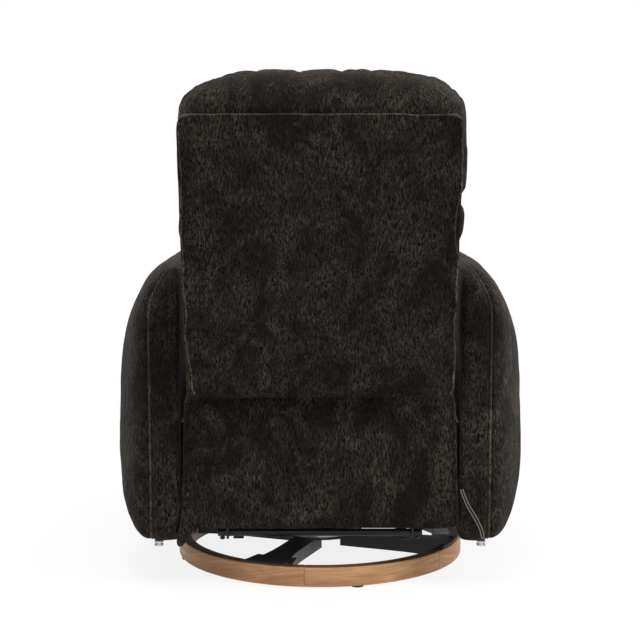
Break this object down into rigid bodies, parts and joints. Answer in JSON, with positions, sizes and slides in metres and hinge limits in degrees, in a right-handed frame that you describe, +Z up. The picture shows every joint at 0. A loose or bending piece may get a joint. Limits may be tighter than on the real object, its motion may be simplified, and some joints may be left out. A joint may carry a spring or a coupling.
{
  "type": "swivel glider armchair",
  "caption": "Upholstered armchair that swivels and glides on a wooden floor ring, with a reclining back and a footrest that folds out.",
  "frame": {"origin": "on the floor, on the axis of the swivel, which is the centre of the chair's box", "axes": "+Z up; -Y is the chair's front and +Y its rear; +X is the sitter's left"},
  "size_m": [0.7998, 0.8121, 0.9679],
  "materials": {
    "upholstery": "slubby charcoal chenille",
    "ring_wood": "clear satin lacquer on pale wood",
    "frame_wood": "bare",
    "black_steel": "satin black powder coat",
    "zinc_steel": "zinc plated",
    "spring_steel": "dark spring wire",
    "floor_pad": "matt",
    "clear_plastic": "frosted",
    "cord": "braided"
  },
  "bodies": {
    "base": {"base_ring": "ring_wood", "base_cross": "black_steel", "swivel_race_lower": "zinc_steel", "swivel_ball_ring": "zinc_steel", "swivel_bolt": "zinc_steel", "floor_pad_1": "floor_pad", "floor_pad_2": "floor_pad", "floor_pad_3": "floor_pad", "floor_pad_4": "floor_pad"},
    "turntable": {"swivel_race_upper": "zinc_steel", "glide_frame": "black_steel"},
    "front_links": {"swing_link_front_left": "black_steel", "swing_link_front_right": "black_steel", "swing_shaft_front": "zinc_steel"},
    "rear_links": {"swing_link_rear_left": "black_steel", "swing_link_rear_right": "black_steel", "swing_shaft_rear": "zinc_steel"},
    "seat": {"carriage_rail_left": "black_steel", "carriage_rail_right": "black_steel", "front_cross_tube": "black_steel", "rear_cross_tube": "black_steel", "side_plate_left": "black_steel", "side_plate_right": "black_steel", "seat_side_rail_left": "frame_wood", "seat_side_rail_right": "frame_wood", "seat_front_rail": "frame_wood", "seat_rear_rail": "frame_wood", "seat_spring_1": "spring_steel", "seat_spring_2": "spring_steel", "seat_spring_3": "spring_steel", "seat_spring_4": "spring_steel", "seat_cushion": "upholstery", "lower_back_panel": "upholstery", "arm_left": "upholstery", "arm_right": "upholstery", "arm_board_left": "frame_wood", "arm_board_right": "frame_wood", "arm_clip_left": "clear_plastic", "arm_clip_right": "clear_plastic", "tie_cord": "cord"},
    "back": {"back_frame": "frame_wood", "outside_back_panel": "upholstery", "lumbar_cushion": "upholstery", "middle_cushion": "upholstery", "head_cushion": "upholstery", "back_bracket_left": "black_steel", "back_bracket_right": "black_steel"},
    "footrest_drive": {"footrest_torque_tube": "zinc_steel", "footrest_drive_link_left": "black_steel", "footrest_drive_link_right": "black_steel"},
    "footrest_stabiliser": {"footrest_stabiliser_link_left": "black_steel", "footrest_stabiliser_link_right": "black_steel"},
    "footrest_carrier": {"footrest_carrier_link_left": "black_steel", "footrest_carrier_link_right": "black_steel"},
    "footrest_lower": {"footrest_board_link_left": "black_steel", "footrest_board_link_right": "black_steel"},
    "footrest": {"footrest_board": "frame_wood", "footrest_pad": "upholstery", "footrest_bracket_left": "black_steel", "footrest_bracket_right": "black_steel"}
  },
  "joints": [
    {"name": "swivel", "type": "hinge", "parent": "base", "child": "turntable", "pos_m": [0, 0, 0.0595], "axis": [0, 0, 1], "continuous": true},
    {"name": "glide", "type": "hinge", "parent": "turntable", "child": "front_links", "pos_m": [0, -0.125, 0.245], "axis": [1, 0, 0], "range_deg": [-14, 14]},
    {"name": "glide_rear", "type": "hinge", "parent": "turntable", "child": "rear_links", "pos_m": [0, 0.125, 0.245], "axis": [1, 0, 0], "range_deg": [-14, 14]},
    {"name": "seat_hang", "type": "hinge", "parent": "front_links", "child": "seat", "pos_m": [0, -0.125, 0.105], "axis": [1, 0, 0], "range_deg": [-14, 14]},
    {"name": "recline", "type": "hinge", "parent": "seat", "child": "back", "pos_m": [0, 0.208, 0.36], "axis": [-1, 0, 0], "range_deg": [0, 38]},
    {"name": "footrest_open", "type": "hinge", "parent": "seat", "child": "footrest_drive", "pos_m": [0, -0.217, 0.272], "axis": [-1, 0, 0], "range_deg": [0, 90]},
    {"name": "footrest_stabiliser_turn", "type": "hinge", "parent": "seat", "child": "footrest_stabiliser", "pos_m": [0, -0.18942, 0.24886], "axis": [-1, 0, 0], "range_deg": [0, 90]},
    {"name": "footrest_carrier_turn", "type": "hinge", "parent": "footrest_drive", "child": "footrest_carrier", "pos_m": [0, -0.2045, 0.1315], "axis": [-1, 0, 0], "range_deg": [-90, 0]},
    {"name": "footrest_lower_turn", "type": "hinge", "parent": "footrest_drive", "child": "footrest_lower", "pos_m": [0, -0.20096, 0.09166], "axis": [-1, 0, 0], "range_deg": [-90, 0]},
    {"name": "footrest_board_turn", "type": "hinge", "parent": "footrest_carrier", "child": "footrest", "pos_m": [0, -0.327, 0.262], "axis": [-1, 0, 0], "range_deg": [0, 90]}
  ],
  "couplings": [
    {"joint": "glide_rear", "follows": "glide", "ratio": 1},
    {"joint": "seat_hang", "follows": "glide", "ratio": -1},
    {"joint": "footrest_stabiliser_turn", "follows": "footrest_open", "ratio": 1},
    {"joint": "footrest_carrier_turn", "follows": "footrest_open", "ratio": -1},
    {"joint": "footrest_lower_turn", "follows": "footrest_open", "ratio": -1},
    {"joint": "footrest_board_turn", "follows": "footrest_open", "ratio": 1}
  ]
}
